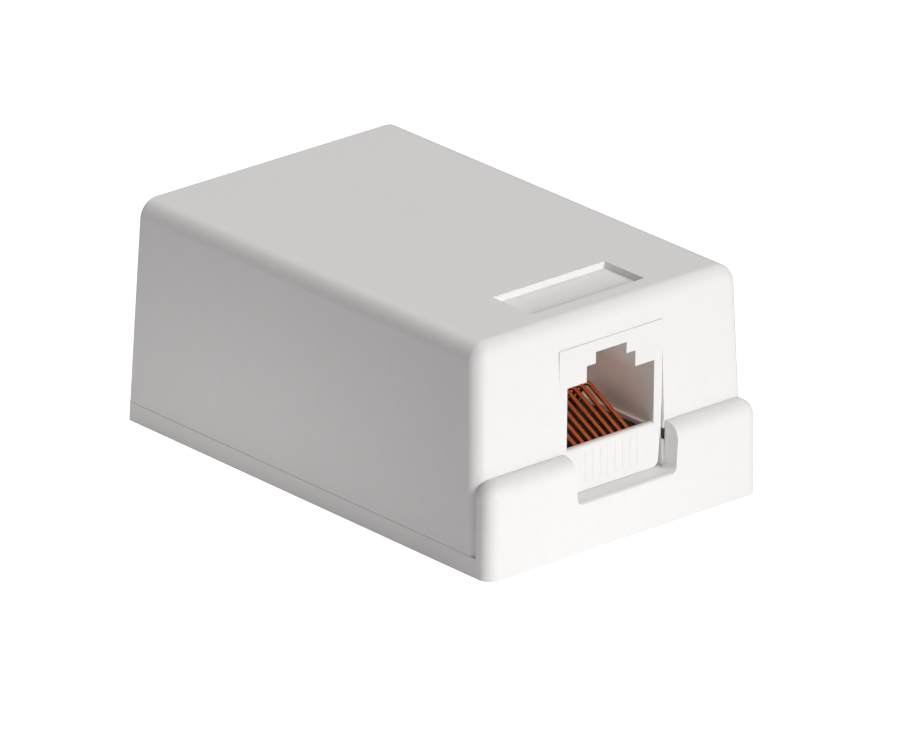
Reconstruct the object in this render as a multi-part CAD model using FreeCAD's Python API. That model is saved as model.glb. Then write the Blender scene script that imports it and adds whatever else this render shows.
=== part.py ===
import FreeCAD, Part
import math
import os

# Surface mount jack box: a flat base with a raised front lip, a drafted lift-off cover, and a
# modular jack with eight sprung wires on a circuit board with two punch-down blocks.
# Millimetres, +Z up from the mounting face, socket towards -Y, origin under the middle of the base.

# Box
box_length = 57.0
box_width = 37.2
box_height = 24.8
base_floor = 2.1
cover_wall = 1.6
part_gap = 0.1          # parting line between base and cover
slide_gap = 0.08        # cover's front tongue behind the lip
side_draft = 1.75       # degrees
front_draft = 2.8
rear_draft = 2.5
side_round = 2.2        # cover's long top edges
front_round = 1.65      # rim of the cover's front face
rear_round = 0.5
inner_chamfer = 0.5

# Front lip of the base
lip_height = 10.4
lip_reach = 2.1
lip_side_draft = 1.0
lip_front_draft = 0.45
lip_corner_round = 1.5
lip_top_round = 1.6
notch_floor = 5.4
notch_width = 13.5      # at its floor; it widens upwards
notch_draft = 3.0
notch_shift = 0.25      # to the right of the middle
notch_corner_round = 0.5
notch_edge_round = 0.4
jack_step_gap = 0.2     # step under the jack's front, to each side and to the board

# Locating rim and stiffening ribs
root = 0.5              # how far ribs and bosses run into what carries them
rim_height = 3.0
rim_wall = 1.2
rim_gap = 0.35
rim_setback = 7.0
grip_gap = 0.05
grip_width = 2.0
grip_count = 3
rib_width = 1.0
rib_reach = 1.0
rib_above_rim = 0.5
hold_down_gap = 0.25

# Cover openings
label_length = 15.3
label_width = 6.0
label_depth = 0.75
label_setback = 6.1
cable_width = 8.0
cable_height = 7.3
rim_cable_gap = 1.0

# Circuit board
board_thick = 1.6
board_lift = 1.9
board_setback = 4.8
board_edge_gap = 1.3
board_corner_round = 1.5
board_stop_wall = 1.2
board_stop_gap = 0.15
pin_fit = 0.08          # pins in the board's slots

# Wall screws
wall_hole_r = 2.1
wall_pad_r = 3.8
wall_pad_height = 0.8
wall_head_room = 0.4
wall_hole_rear_setback = 7.5

# Board screws and locating pegs
screw_r = 1.1
screw_head_r = 2.2
screw_head_height = 1.5
screw_length = 4.6
screw_fit = 0.06
screw_board_gap = 0.2
screw_inset = 3.2
drive_width = 0.6
drive_length = 2.5
drive_depth = 0.8
boss_r = 2.5
peg_pad = 4.4           # square support under each locating peg
rest_width = 3.0
rest_depth = 2.0
peg_r = 0.9
peg_fit = 0.1
peg_inset = 3.0
peg_setback = 3.4

# Modular jack
opening_width = 11.9
opening_height = 6.9
step_width = 6.65
step_height = 1.75
latch_width = 4.2
latch_height = 1.25
opening_sill = 10.44
cavity_depth = 12.0
jack_wall = 1.1
jack_roof = 1.25
jack_setback = 2.48
jack_depth = 15.9
jack_taper = 0.4        # how much each side narrows towards the board
jack_taper_top = 12.5
jack_corner_round = 0.8
jack_gap = 0.08         # to the cover's cut-out
jack_foot_gap = 0.05    # over the step in the base
snap_relief_depth = 0.8
snap_relief_height = 1.5
snap_relief_lift = 8.8
sill_wall = 0.6
sill_round = 0.35
ledge_height = 10.15
ledge_width = 0.4
rear_wall = 1.1
groove_depth = 0.08
groove_width = 0.45
groove_margin = 0.7
jack_peg_width = 1.0
jack_peg_inset = 0.05    # from the pocket's wall
jack_peg_setback = 8.0

# Contact wires
contact_count = 8
contact_pitch = 1.02
wire_r = 0.25
wire_fit = 0.07
wire_sides = 6          # a six-sided bar, near enough round at this size
wrap_r = 0.8
rise_angle = 28.0
rise_length = 6.35
crest_r = 0.9
drop_angle = 60.0
drop_length = 3.3
riser_bend_r = 0.6
pin_row_1 = 12.0        # behind the jack's face
pin_row_2 = 14.54
tail_length = 1.2       # below the board

# Contact carrier
carrier_gap = 0.1
floor_below_ledge = 0.41
slot_clearance = 0.05

# Punch-down blocks and their forks
idc_slots = 4
idc_pitch = 3.9
idc_end = 1.1
idc_width = 5.6
idc_tip_width = 2.2
idc_shoulder = 6.0
idc_height = 9.0
idc_slot_width = 1.3
idc_slot_depth = 6.0
idc_mouth_width = 2.6
idc_mouth_depth = 1.7
idc_edge = 1.4
idc_screw_gap = 1.0
fork_thick = 0.5
fork_width = 2.4
fork_height = 6.4
fork_slot = 0.36
fork_slot_depth = 3.2
fork_mouth = 1.1
fork_pin_width = 0.7
fork_fit = 0.08

# Places that follow from the sizes above
front = -box_length / 2
rear = box_length / 2
side_slope = math.tan(math.radians(side_draft))
front_slope = math.tan(math.radians(front_draft))
rear_slope = math.tan(math.radians(rear_draft))
cover_bottom = base_floor + part_gap
shoulder = lip_height + part_gap
tongue_face = front + lip_reach + slide_gap
board_bottom = base_floor + board_lift
board_top = board_bottom + board_thick
board_front = front + board_setback
rim_top = base_floor + rim_height
jack_face = front + jack_setback
jack_foot = notch_floor + jack_foot_gap
jack_half = opening_width / 2 + jack_wall
jack_rear = jack_face + jack_depth
step_top = opening_sill + opening_height + step_height
jack_top = step_top + latch_height + jack_roof
cavity_rear = jack_face + cavity_depth
pocket_half = opening_width / 2 - ledge_width
jack_peg_x = pocket_half + jack_peg_inset + jack_peg_width / 2
sill_back = jack_face + sill_wall
wall_hole_front = jack_rear + wall_pad_r + wall_head_room
wall_hole_rear = rear - wall_hole_rear_setback
board_rear = wall_hole_rear - wall_pad_r - wall_head_room
idc_length = idc_slots * idc_pitch + 2 * idc_end
idc_front = wall_hole_front + screw_head_r + idc_screw_gap
nose_r = wrap_r - wire_r - wire_fit
carrier_top = ledge_height - floor_below_ledge
nose_y = sill_back + wire_fit + wire_r + wrap_r
nose_z = carrier_top - nose_r
run_z = nose_z - wrap_r


def cover_side(z):
    return box_width / 2 - z * side_slope


def cover_front(z):
    return front + lip_reach + (z - shoulder) * front_slope


def cover_rear(z):
    return rear - z * rear_slope


def rim_half(z):
    return cover_side(z) - cover_wall - rim_gap


board_half = rim_half(rim_top) - rim_wall - board_edge_gap
idc_centre = board_half - idc_edge - idc_width / 2
screw_x = board_half - screw_inset
peg_x = board_half - peg_inset
peg_y = board_front + peg_setback


# Shape helpers

def block(x0, x1, y0, y1, z0, z1):
    return Part.makeBox(x1 - x0, y1 - y0, z1 - z0, FreeCAD.Vector(x0, y0, z0))


def centred(half, y0, y1, z0, z1):
    return block(-half, half, y0, y1, z0, z1)


def post(radius, x, y, z0, z1):
    return Part.makeCylinder(radius, z1 - z0, FreeCAD.Vector(x, y, z0))


def drafted(low, high):
    """Six-sided solid between two rectangles, each given as half width, front, rear and height."""
    corners = []
    for half, y0, y1, z in (low, high):
        corners.append([FreeCAD.Vector(x, y, z) for x, y in ((-half, y0), (half, y0), (half, y1), (-half, y1))])
    bottom, top = corners
    outlines = [bottom[::-1], top]
    for i in range(4):
        j = (i + 1) % 4
        outlines.append([bottom[i], bottom[j], top[j], top[i]])
    faces = [Part.Face(Part.makePolygon(outline + outline[:1])) for outline in outlines]
    return Part.makeSolid(Part.makeShell(faces))


def profile_yz(points, x0, x1):
    """Outline in the YZ plane, pushed from x0 to x1."""
    corners = [FreeCAD.Vector(x0, y, z) for y, z in points]
    face = Part.Face(Part.makePolygon(corners + corners[:1]))
    return face.extrude(FreeCAD.Vector(x1 - x0, 0, 0))


def profile_xz(points, y0, y1):
    """Outline in the XZ plane, pushed from y0 to y1."""
    corners = [FreeCAD.Vector(x, y0, z) for x, z in points]
    face = Part.Face(Part.makePolygon(corners + corners[:1]))
    return face.extrude(FreeCAD.Vector(0, y1 - y0, 0))


def mirrored(half_outline):
    """Closed outline from the right-hand points, listed bottom to top."""
    return half_outline + [(-x, z) for x, z in reversed(half_outline)]


def edge_roll(half, y, z, radius):
    """Cutter that rounds over an edge along X between a front face at y and a top face at z."""
    roll = Part.makeCylinder(radius, 2 * half + 2, FreeCAD.Vector(-half - 1, y + radius, z - radius), AXIS_X)
    return centred(half, y - 1, y + radius, z - radius, z + 1).cut(roll)


def edges_at(shape, test):
    return [edge for edge in shape.Edges if test(edge.CenterOfMass, edge)]


def runs_along(edge, axis):
    start, end = edge.Vertexes[0].Point, edge.Vertexes[-1].Point
    travel = end - start
    return travel.Length > 0 and abs(travel.dot(axis)) > 0.99 * travel.Length


AXIS_X = FreeCAD.Vector(1, 0, 0)
AXIS_Y = FreeCAD.Vector(0, 1, 0)
AXIS_Z = FreeCAD.Vector(0, 0, 1)


# Cover

def cover_block(inset, z0, z1):
    """Drafted body of the cover, drawn in by an inset on its four sides."""
    low = (cover_side(z0) - inset, cover_front(z0) + inset, cover_rear(z0) - inset, z0)
    high = (cover_side(z1) - inset, cover_front(z1) + inset, cover_rear(z1) - inset, z1)
    return drafted(low, high)


def cover_outside():
    body = cover_block(0, cover_bottom, box_height)
    long_edges = edges_at(body, lambda c, e: c.z > box_height - 0.01 and runs_along(e, AXIS_Y))
    body = body.makeFillet(side_round, long_edges)
    front_rim = edges_at(body, lambda c, e: c.z > cover_bottom + 0.01 and on_plane(e, cover_front))
    body = body.makeFillet(front_round, front_rim)
    rear_rim = edges_at(body, lambda c, e: c.z > cover_bottom + 0.01 and on_plane(e, cover_rear))
    return body.makeFillet(rear_round, rear_rim)


def on_plane(edge, plane):
    """Whether both ends lie on the front or rear plane, given as Y against height."""
    return all(abs(vertex.Y - plane(vertex.Z)) < 0.001 for vertex in edge.Vertexes)


def cover_inside():
    body = cover_block(cover_wall, cover_bottom - 1, box_height - cover_wall)
    edges = edges_at(body, lambda c, e: c.z > cover_bottom)
    return body.makeChamfer(inner_chamfer, edges)


def jack_cutout():
    top = jack_top + jack_gap
    cutter = centred(jack_half + jack_gap, front - 1, jack_face + 3 * cover_wall, 0, top)
    corners = edges_at(cutter, lambda c, e: c.z > top - 0.01 and runs_along(e, AXIS_Y))
    cutter = cutter.makeFillet(jack_gap * 2, corners)
    relief = centred(jack_half + jack_gap + snap_relief_depth, front - 1, jack_face + 3 * cover_wall,
                     snap_relief_lift - snap_relief_height / 2, snap_relief_lift + snap_relief_height / 2)
    return cutter.fuse(relief)


def cable_notch():
    half = cable_width / 2
    arch_z = cover_bottom + cable_height - half
    straight = centred(half, rear - 4 * cover_wall, rear + 1, 0, arch_z)
    arch = Part.makeCylinder(half, 4 * cover_wall + 1, FreeCAD.Vector(0, rear - 4 * cover_wall, arch_z), AXIS_Y)
    return straight.fuse(arch)


def side_ribs():
    """Upright ribs that stiffen the side walls and end just above the base's rim."""
    ribs = []
    z0 = rim_top + rib_above_rim
    z1 = box_height - cover_wall / 2
    skin = cover_block(cover_wall / 2, z0, z1).cut(cover_block(cover_wall + rib_reach, z0 - 1, z1 + 1))
    for y in grip_places():
        ribs.append(skin.common(centred(box_width, y - rib_width / 2, y + rib_width / 2, z0, z1)))
    return ribs


def hold_down():
    y = cavity_rear - rib_width
    half = opening_width / 2
    return centred(half, y, y + rib_width, jack_top + hold_down_gap, box_height - cover_wall / 2)


def cover():
    shell = cover_outside().cut(cover_inside())
    shell = shell.fuse(side_ribs() + [hold_down()])
    label_front = front + label_setback
    recess = centred(label_length / 2, label_front, label_front + label_width,
                     box_height - label_depth, box_height + 1)
    lip_room = centred(box_width, front - 1, tongue_face, 0, shoulder)
    return shell.cut([jack_cutout(), cable_notch(), recess, lip_room]).removeSplitter()


# Base

def grip_places():
    """Positions along the sides of the rim's grip ribs and the cover's ribs above them."""
    start = front + rim_setback + grip_width
    end = cover_rear(rim_top) - cover_wall - rim_gap - rim_wall - 2 * grip_width
    return [start + (end - start) * i / (grip_count - 1) for i in range(grip_count)]


def floor_and_lip():
    lip_slope = math.tan(math.radians(lip_side_draft))
    lean = math.tan(math.radians(lip_front_draft))
    half = box_width / 2

    def section(rear_face, z):
        return (half - z * lip_slope, front + z * lean, rear_face, z)

    plate = drafted(section(rear, 0), section(cover_rear(base_floor), base_floor))
    lip = drafted(section(front + lip_reach, 0), section(front + lip_reach, lip_height))
    body = plate.fuse(lip).removeSplitter()
    uprights = edges_at(body, lambda c, e: c.y < front + 0.5 and not runs_along(e, AXIS_X))
    body = body.makeFillet(lip_corner_round, uprights)
    top = edges_at(body, lambda c, e: c.z > lip_height - 0.01 and c.y < front + lip_reach - 0.01)
    body = body.makeFillet(lip_top_round, top)
    back = edges_at(body, lambda c, e: c.y > rear - 1 and not runs_along(e, AXIS_X))
    return body.makeFillet(rear_round, back)


def lip_notch():
    """Gap in the lip before the jack, wider at its top, with its floor's front edge rounded over."""
    low = notch_width / 2
    top = lip_height + 1
    high = low + (top - notch_floor) * math.tan(math.radians(notch_draft))
    outline = [(-low, notch_floor), (low, notch_floor), (high, top), (-high, top)]
    cutter = profile_xz(outline, front - 1, front + lip_reach + 0.5)
    corners = edges_at(cutter, lambda c, e: c.z < notch_floor + 0.01 and runs_along(e, AXIS_Y))
    cutter = cutter.makeFillet(notch_corner_round, corners)
    cutter = cutter.fuse(edge_roll(low - notch_corner_round, front, notch_floor, notch_edge_round))
    return cutter.translated(FreeCAD.Vector(notch_shift, 0, 0))


def rim():
    """Low wall inside the cover's skirt, open towards the jack and at the cable entry."""
    start = front + rim_setback

    def ring(inset, z0, z1):
        low = (cover_side(z0) - inset, start, cover_rear(z0) - inset, z0)
        high = (cover_side(z1) - inset, start, cover_rear(z1) - inset, z1)
        return drafted(low, high)

    z0 = base_floor - root
    hollow = ring(cover_wall + rim_gap + rim_wall, z0 - 1, rim_top + 1)
    hollow = hollow.fuse(centred(box_width / 4, start - 1, 0, z0, rim_top + 1))
    front_cut = centred(rim_half(rim_top) - rim_wall, start - 1, start + rim_wall * 2, z0 - 1, rim_top + 1)
    wall = ring(cover_wall + rim_gap, z0, rim_top).cut([hollow, front_cut])
    grips = []
    outer = ring(cover_wall + grip_gap, z0, rim_top).cut(hollow)
    for y in grip_places():
        grips.append(outer.common(centred(box_width, y - grip_width / 2, y + grip_width / 2, z0, rim_top)))
    cable = centred(cable_width / 2 + rim_cable_gap, rear - 8, rear, z0 - 1, rim_top + 1)
    return wall.fuse(grips).cut(cable)


def bosses():
    """Supports of the board: screw bosses, locating pegs and plain rests, with stops behind it, the
    pads round the wall holes and the step that closes the gap under the jack."""
    z0 = base_floor - root
    solids = []
    for side in (-1, 1):
        solids.append(post(boss_r, side * screw_x, wall_hole_front, z0, board_bottom))
        pad = peg_pad / 2
        solids.append(block(side * peg_x - pad, side * peg_x + pad, peg_y - pad, peg_y + pad, z0, board_bottom))
        solids.append(post(peg_r, side * peg_x, peg_y, z0, board_top + peg_r / 2))
        left, right = side * idc_centre - rest_width / 2, side * idc_centre + rest_width / 2
        solids.append(block(left, right, board_rear - rest_depth, board_rear, z0, board_bottom))
        stop_y = board_rear + board_stop_gap
        solids.append(block(left, right, stop_y, stop_y + board_stop_wall, z0, board_top))
    for y in (wall_hole_front, wall_hole_rear):
        solids.append(post(wall_pad_r, 0, y, z0, base_floor + wall_pad_height))
    solids.append(centred(jack_half + jack_gap - jack_step_gap, front + lip_reach - root,
                          board_front - jack_step_gap, z0, notch_floor))
    return solids


def base():
    body = floor_and_lip().cut(lip_notch())
    body = body.fuse([rim()] + bosses())
    holes = []
    for y in (wall_hole_front, wall_hole_rear):
        holes.append(post(wall_hole_r, 0, y, -1, base_floor + wall_pad_height + 1))
    for side in (-1, 1):
        depth = board_top - screw_length
        holes.append(post(screw_r + screw_fit, side * screw_x, wall_hole_front, depth - 0.3, board_bottom + 1))
    return body.cut(holes).removeSplitter()


# Jack

def opening_outline():
    main, step, latch = opening_width / 2, step_width / 2, latch_width / 2
    main_top = opening_sill + opening_height
    return mirrored([(main, opening_sill), (main, main_top), (step, main_top), (step, step_top),
                     (latch, step_top), (latch, step_top + latch_height)])


def jack_housing():
    foot = jack_half - jack_taper
    outline = mirrored([(foot, jack_foot), (jack_half, jack_taper_top), (jack_half, jack_top)])
    body = profile_xz(outline, jack_face, jack_rear)
    low_corners = edges_at(body, lambda c, e: c.z < jack_foot + 0.01 and runs_along(e, AXIS_Y))
    body = body.makeFillet(jack_corner_round, low_corners)
    half = opening_width / 2
    cuts = [
        profile_xz(opening_outline(), jack_face - 1, cavity_rear),
        edge_roll(half, jack_face, opening_sill, sill_round),
        centred(half, sill_back, cavity_rear, ledge_height, opening_sill + 1),
        centred(pocket_half, sill_back, jack_rear + 1, jack_foot - 1, ledge_height),
        centred(pocket_half, cavity_rear + rear_wall, jack_rear + 1, ledge_height - 1, step_top),
        centred(jack_half, board_front - jack_step_gap, jack_rear + 1, jack_foot - 1, board_top),
    ]
    for x in contact_places():
        cuts.append(block(x - groove_width / 2, x + groove_width / 2, jack_face - 1, jack_face + groove_depth,
                          board_top + groove_margin, opening_sill - groove_margin))
    body = body.cut(cuts)
    pegs = []
    for side in (-1, 1):
        x, y, reach = side * jack_peg_x, jack_face + jack_peg_setback, jack_peg_width / 2
        pegs.append(block(x - reach, x + reach, y - reach, y + reach,
                          board_bottom - 0.5, board_top + jack_corner_round))
    return body.fuse(pegs).removeSplitter()


def contact_places():
    return [(i - (contact_count - 1) / 2) * contact_pitch for i in range(contact_count)]


def contact_carrier():
    """Comb insert: the lower run of each wire lies in a slot and wraps round the carrier's nose."""
    half = pocket_half - carrier_gap
    body = centred(half, sill_back + wire_fit, jack_rear - carrier_gap, board_top + carrier_gap, carrier_top)
    nose = Part.makeCylinder(nose_r, 2 * half, FreeCAD.Vector(-half, nose_y, nose_z), AXIS_X)
    slot_half = wire_r + slot_clearance
    slots = []
    for x in contact_places():
        low = block(x - slot_half, x + slot_half, front, jack_face + pin_row_2 + slot_half,
                    board_bottom, nose_z - nose_r)
        mouth = block(x - slot_half, x + slot_half, front, nose_y, board_bottom, carrier_top + 1)
        guide = block(x - slot_half, x + slot_half, guide_front(), guide_front() + guide_length(),
                      nose_z - nose_r - 0.1, carrier_top + 1)
        slots.append(low.fuse([mouth.cut(nose), guide]))
    return body.cut(slots).removeSplitter()


def spine():
    """Corner values of one wire's centreline in the YZ plane, from the wrap to the tip."""
    rise = math.radians(rise_angle)
    drop = math.radians(drop_angle)
    lift_off = (nose_y - wrap_r * math.sin(rise), nose_z + wrap_r * math.cos(rise))
    crest_start = (lift_off[0] + rise_length * math.cos(rise), lift_off[1] + rise_length * math.sin(rise))
    centre = (crest_start[0] + crest_r * math.sin(rise), crest_start[1] - crest_r * math.cos(rise))
    crest_end = (centre[0] + crest_r * math.sin(drop), centre[1] + crest_r * math.cos(drop))
    tip = (crest_end[0] + drop_length * math.cos(drop), crest_end[1] - drop_length * math.sin(drop))
    return lift_off, crest_start, centre, crest_end, tip


def guide_front():
    crest_end, tip = spine()[3:]
    through = (crest_end[1] - carrier_top) / math.tan(math.radians(drop_angle))
    return crest_end[0] + through - 2 * wire_r


def guide_length():
    return spine()[4][0] - guide_front() + 2 * wire_r


def bend(centre, radius, start, end, x):
    """Arc in the YZ plane between two angles, measured from +Y towards +Z."""
    points = []
    for angle in (start, (start + end) / 2, end):
        a = math.radians(angle)
        points.append(FreeCAD.Vector(x, centre[0] + radius * math.cos(a), centre[1] + radius * math.sin(a)))
    return Part.Arc(*points).toShape()


def wire_corner_angles():
    return [2 * math.pi * (i + 0.5) / wire_sides for i in range(wire_sides)]


def contact_wire(x, pin_y):
    """One wire: pin through the board, lower run, wrap round the nose, rise, crest and tip."""
    lift_off, crest_start, crest_centre, crest_end, tip = spine()

    def point(y, z):
        return FreeCAD.Vector(x, y, z)

    tail = point(pin_y, board_bottom - tail_length)
    riser_top = point(pin_y, run_z - riser_bend_r)
    riser_centre = (pin_y - riser_bend_r, run_z - riser_bend_r)
    run_start = point(riser_centre[0], run_z)
    run_end = point(nose_y, run_z)
    path = Part.Wire([
        Part.LineSegment(tail, riser_top).toShape(),
        bend(riser_centre, riser_bend_r, 0, 90, x),
        Part.LineSegment(run_start, run_end).toShape(),
        bend((nose_y, nose_z), wrap_r, 270, 90 + rise_angle, x),
        Part.LineSegment(point(*lift_off), point(*crest_start)).toShape(),
        bend(crest_centre, crest_r, 90 + rise_angle, 90 - drop_angle, x),
        Part.LineSegment(point(*crest_end), point(*tip)).toShape(),
    ])
    corners = [tail + FreeCAD.Vector(math.cos(a), math.sin(a), 0) * wire_r for a in wire_corner_angles()]
    return path.makePipe(Part.Face(Part.makePolygon(corners + corners[:1])))


# Circuit board

def fork_places():
    return [idc_front + idc_end + (i + 0.5) * idc_pitch for i in range(idc_slots)]


def circuit_board():
    plate = centred(board_half, board_front, board_rear, board_bottom, board_top)
    corners = edges_at(plate, lambda c, e: runs_along(e, AXIS_Z))
    plate = plate.makeFillet(board_corner_round, corners)

    def hole(radius, x, y):
        return post(radius, x, y, board_bottom - 1, board_top + 1)

    def slot(width, length, x, y):
        across, along = width / 2 + pin_fit, length / 2 + pin_fit
        return block(x - across, x + across, y - along, y + along, board_bottom - 1, board_top + 1)

    holes = [hole(wall_pad_r, 0, wall_hole_front)]
    for side in (-1, 1):
        holes.append(hole(screw_r + screw_board_gap, side * screw_x, wall_hole_front))
        holes.append(hole(peg_r + peg_fit, side * peg_x, peg_y))
        holes.append(slot(jack_peg_width, jack_peg_width, side * jack_peg_x, jack_face + jack_peg_setback))
        for y in fork_places():
            holes.append(slot(fork_thick, fork_pin_width, side * idc_centre, y))
    for i, x in enumerate(contact_places()):
        holes.append(slot(2 * wire_r, 2 * wire_r, x, pin_place(i)))
    return plate.cut(holes)


def pin_place(i):
    return jack_face + (pin_row_1 if i % 2 == 0 else pin_row_2)


# Punch-down blocks

def idc_block(side):
    """Gabled bar cut into towers by the wire slots, with a pocket under each slot for its fork."""
    x = side * idc_centre
    top = board_top + idc_height
    gable = [(x - idc_width / 2, board_top), (x + idc_width / 2, board_top),
             (x + idc_width / 2, board_top + idc_shoulder), (x + idc_tip_width / 2, top),
             (x - idc_tip_width / 2, top), (x - idc_width / 2, board_top + idc_shoulder)]
    body = profile_xz(gable, idc_front, idc_front + idc_length)
    x0, x1 = x - idc_width, x + idc_width
    cuts = []
    for y in fork_places():
        slot, mouth = idc_slot_width / 2, idc_mouth_width / 2
        cuts.append(profile_yz([(y - slot, top - idc_slot_depth), (y + slot, top - idc_slot_depth),
                                (y + slot, top - idc_mouth_depth), (y + mouth, top + 0.01),
                                (y - mouth, top + 0.01), (y - slot, top - idc_mouth_depth)], x0, x1))
        cuts.append(block(x - fork_thick / 2 - fork_fit, x + fork_thick / 2 + fork_fit,
                          y - fork_width / 2 - fork_fit, y + fork_width / 2 + fork_fit,
                          board_top - 1, board_top + fork_height + fork_fit))
    return body.cut(cuts).removeSplitter()


def idc_clip(side, y):
    """Flat fork with a narrow slot that bites the wire, on a pin through the board."""
    x = side * idc_centre
    z = board_top + fork_height
    half, pin, slot, mouth = fork_width / 2, fork_pin_width / 2, fork_slot / 2, fork_mouth / 2
    right = [(pin, board_bottom - tail_length), (pin, board_top), (half, board_top + fork_fit), (half, z),
             (mouth, z), (slot, z - mouth), (slot, z - fork_slot_depth)]
    outline = [(y + w, h) for w, h in right] + [(y - w, h) for w, h in reversed(right)]
    return profile_yz(outline, x - fork_thick / 2, x + fork_thick / 2)


def board_screw(side):
    """Pan-head screw with a cross recess."""
    x, y = side * screw_x, wall_hole_front
    top = board_top + screw_head_height
    head = post(screw_head_r, x, y, board_top, top)
    head = head.makeChamfer(screw_head_height / 3, edges_at(head, lambda c, e: c.z > top - 0.01))
    shank = post(screw_r, x, y, board_top - screw_length, board_top + 0.5)
    body = head.fuse(shank)
    z0 = top - drive_depth
    slots = [block(x - drive_length / 2, x + drive_length / 2, y - drive_width / 2, y + drive_width / 2, z0, top + 1),
             block(x - drive_width / 2, x + drive_width / 2, y - drive_length / 2, y + drive_length / 2, z0, top + 1)]
    return body.cut(slots).removeSplitter()


def build():
    os.makedirs("parts", exist_ok=True)
    nodes = {
        "base": base(),
        "cover": cover(),
        "jack_housing": jack_housing(),
        "contact_carrier": contact_carrier(),
        "circuit_board": circuit_board(),
    }
    for i, x in enumerate(contact_places()):
        nodes[f"contact_wire_{i + 1}"] = contact_wire(x, pin_place(i))
    for side, name in ((-1, "left"), (1, "right")):
        nodes[f"idc_block_{name}"] = idc_block(side)
        nodes[f"board_screw_{name}"] = board_screw(side)
    clip = 0
    for side in (-1, 1):
        for y in fork_places():
            clip += 1
            nodes[f"idc_clip_{clip}"] = idc_clip(side, y)
    for name, shape in nodes.items():
        shape.exportStep(f"parts/{name}.step")
        print(name, round(shape.Volume, 2), shape.isValid(), len(shape.Solids))


build()
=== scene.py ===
import bpy
import math
from mathutils import Matrix, Vector


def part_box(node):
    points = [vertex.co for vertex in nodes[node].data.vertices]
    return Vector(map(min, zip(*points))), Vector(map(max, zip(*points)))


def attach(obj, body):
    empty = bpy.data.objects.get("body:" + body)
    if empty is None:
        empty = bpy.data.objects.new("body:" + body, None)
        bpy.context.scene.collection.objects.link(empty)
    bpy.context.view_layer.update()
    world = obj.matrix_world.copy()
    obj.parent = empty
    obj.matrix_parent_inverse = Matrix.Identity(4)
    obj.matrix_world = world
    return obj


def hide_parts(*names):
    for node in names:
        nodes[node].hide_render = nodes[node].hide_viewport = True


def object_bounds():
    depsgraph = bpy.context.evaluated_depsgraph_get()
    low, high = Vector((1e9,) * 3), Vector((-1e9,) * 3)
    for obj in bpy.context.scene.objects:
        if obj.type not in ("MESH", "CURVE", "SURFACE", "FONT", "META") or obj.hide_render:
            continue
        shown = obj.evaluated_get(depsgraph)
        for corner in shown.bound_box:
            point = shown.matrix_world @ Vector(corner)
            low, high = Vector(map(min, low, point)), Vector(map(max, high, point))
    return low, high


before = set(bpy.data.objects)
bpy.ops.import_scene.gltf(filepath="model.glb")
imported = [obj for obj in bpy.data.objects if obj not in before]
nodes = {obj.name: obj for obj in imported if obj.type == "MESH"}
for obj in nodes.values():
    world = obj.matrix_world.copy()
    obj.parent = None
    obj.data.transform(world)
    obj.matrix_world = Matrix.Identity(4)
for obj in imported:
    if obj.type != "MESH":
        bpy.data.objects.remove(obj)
cadLow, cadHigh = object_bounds()
print("frame loaded:", len(nodes), "nodes")


# picking and small mesh jobs; all lengths are in metres
hair = 0.00001                # places nearer to each other than this count as one
weldNear = 0.0000005
lookShare = 0.9               # a face looks along an axis when its normal does so at least this far
edgeSteps = 2                 # segments of every broken edge


def letGo():
    if bpy.context.mode != "OBJECT":
        bpy.ops.object.mode_set(mode="OBJECT")
    bpy.ops.object.select_all(action="DESELECT")


def pickOnly(piece):
    letGo()
    piece.select_set(True)
    bpy.context.view_layer.objects.active = piece


def editAll(piece):
    pickOnly(piece)
    bpy.ops.object.mode_set(mode="EDIT")
    bpy.ops.mesh.select_all(action="SELECT")


def startPiece(name):
    # names the primitive just added, settles its place into its mesh and opens it for editing
    piece = bpy.context.object
    piece.name = name
    pickOnly(piece)
    bpy.ops.object.transform_apply(location=True, rotation=True, scale=True)
    editAll(piece)
    return piece


def startBox(name, middle, size):
    letGo()
    bpy.ops.mesh.primitive_cube_add(size=1, location=middle, scale=size)
    return startPiece(name)


def pick(piece, kind, test):
    # in edit mode, picks the corners, edges or faces that pass the test;
    # an edge passes with both its ends, and a face is tested by its middle and normal
    bpy.ops.mesh.select_mode(type=kind)
    bpy.ops.mesh.select_all(action="DESELECT")
    bpy.ops.object.mode_set(mode="OBJECT")
    mesh = piece.data
    if kind == "FACE":
        for face in mesh.polygons:
            face.select = bool(test(face.center, face.normal))
    elif kind == "EDGE":
        for edge in mesh.edges:
            edge.select = all(test(mesh.vertices[i].co) for i in edge.vertices)
    else:
        for corner in mesh.vertices:
            corner.select = bool(test(corner.co))
    bpy.ops.object.mode_set(mode="EDIT")


def pull(move):
    bpy.ops.mesh.extrude_region_move(TRANSFORM_OT_translate={"value": tuple(move)})


def shift(move):
    bpy.ops.transform.translate(value=tuple(move))


def cutAcross(place, normal):
    bpy.ops.mesh.select_all(action="SELECT")
    bpy.ops.mesh.bisect(plane_co=place, plane_no=normal)


def roundPicked(radius, steps):
    bpy.ops.mesh.bevel(offset=radius, segments=steps, affect="EDGES")


def closeUp(piece):
    editAll(piece)
    bpy.ops.mesh.remove_doubles(threshold=weldNear)
    bpy.ops.mesh.normals_make_consistent(inside=False)
    letGo()


def addModifier(piece, kind, **values):
    modifier = piece.modifiers.new(kind.lower(), kind)
    for key, value in values.items():
        setattr(modifier, key, value)
    pickOnly(piece)
    bpy.ops.object.modifier_apply(modifier=modifier.name)


def breakEdges(piece, width, degrees):
    addModifier(piece, "BEVEL", width=width, segments=edgeSteps, limit_method="ANGLE",
                angle_limit=math.radians(degrees))


def smoothShade(piece, degrees):
    pickOnly(piece)
    bpy.ops.object.shade_smooth_by_angle(angle=math.radians(degrees))


def copyTo(piece, name, move):
    twin = bpy.data.objects.new(name, piece.data.copy())
    bpy.context.scene.collection.objects.link(twin)
    editAll(twin)
    shift(move)
    letGo()
    return twin


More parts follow.
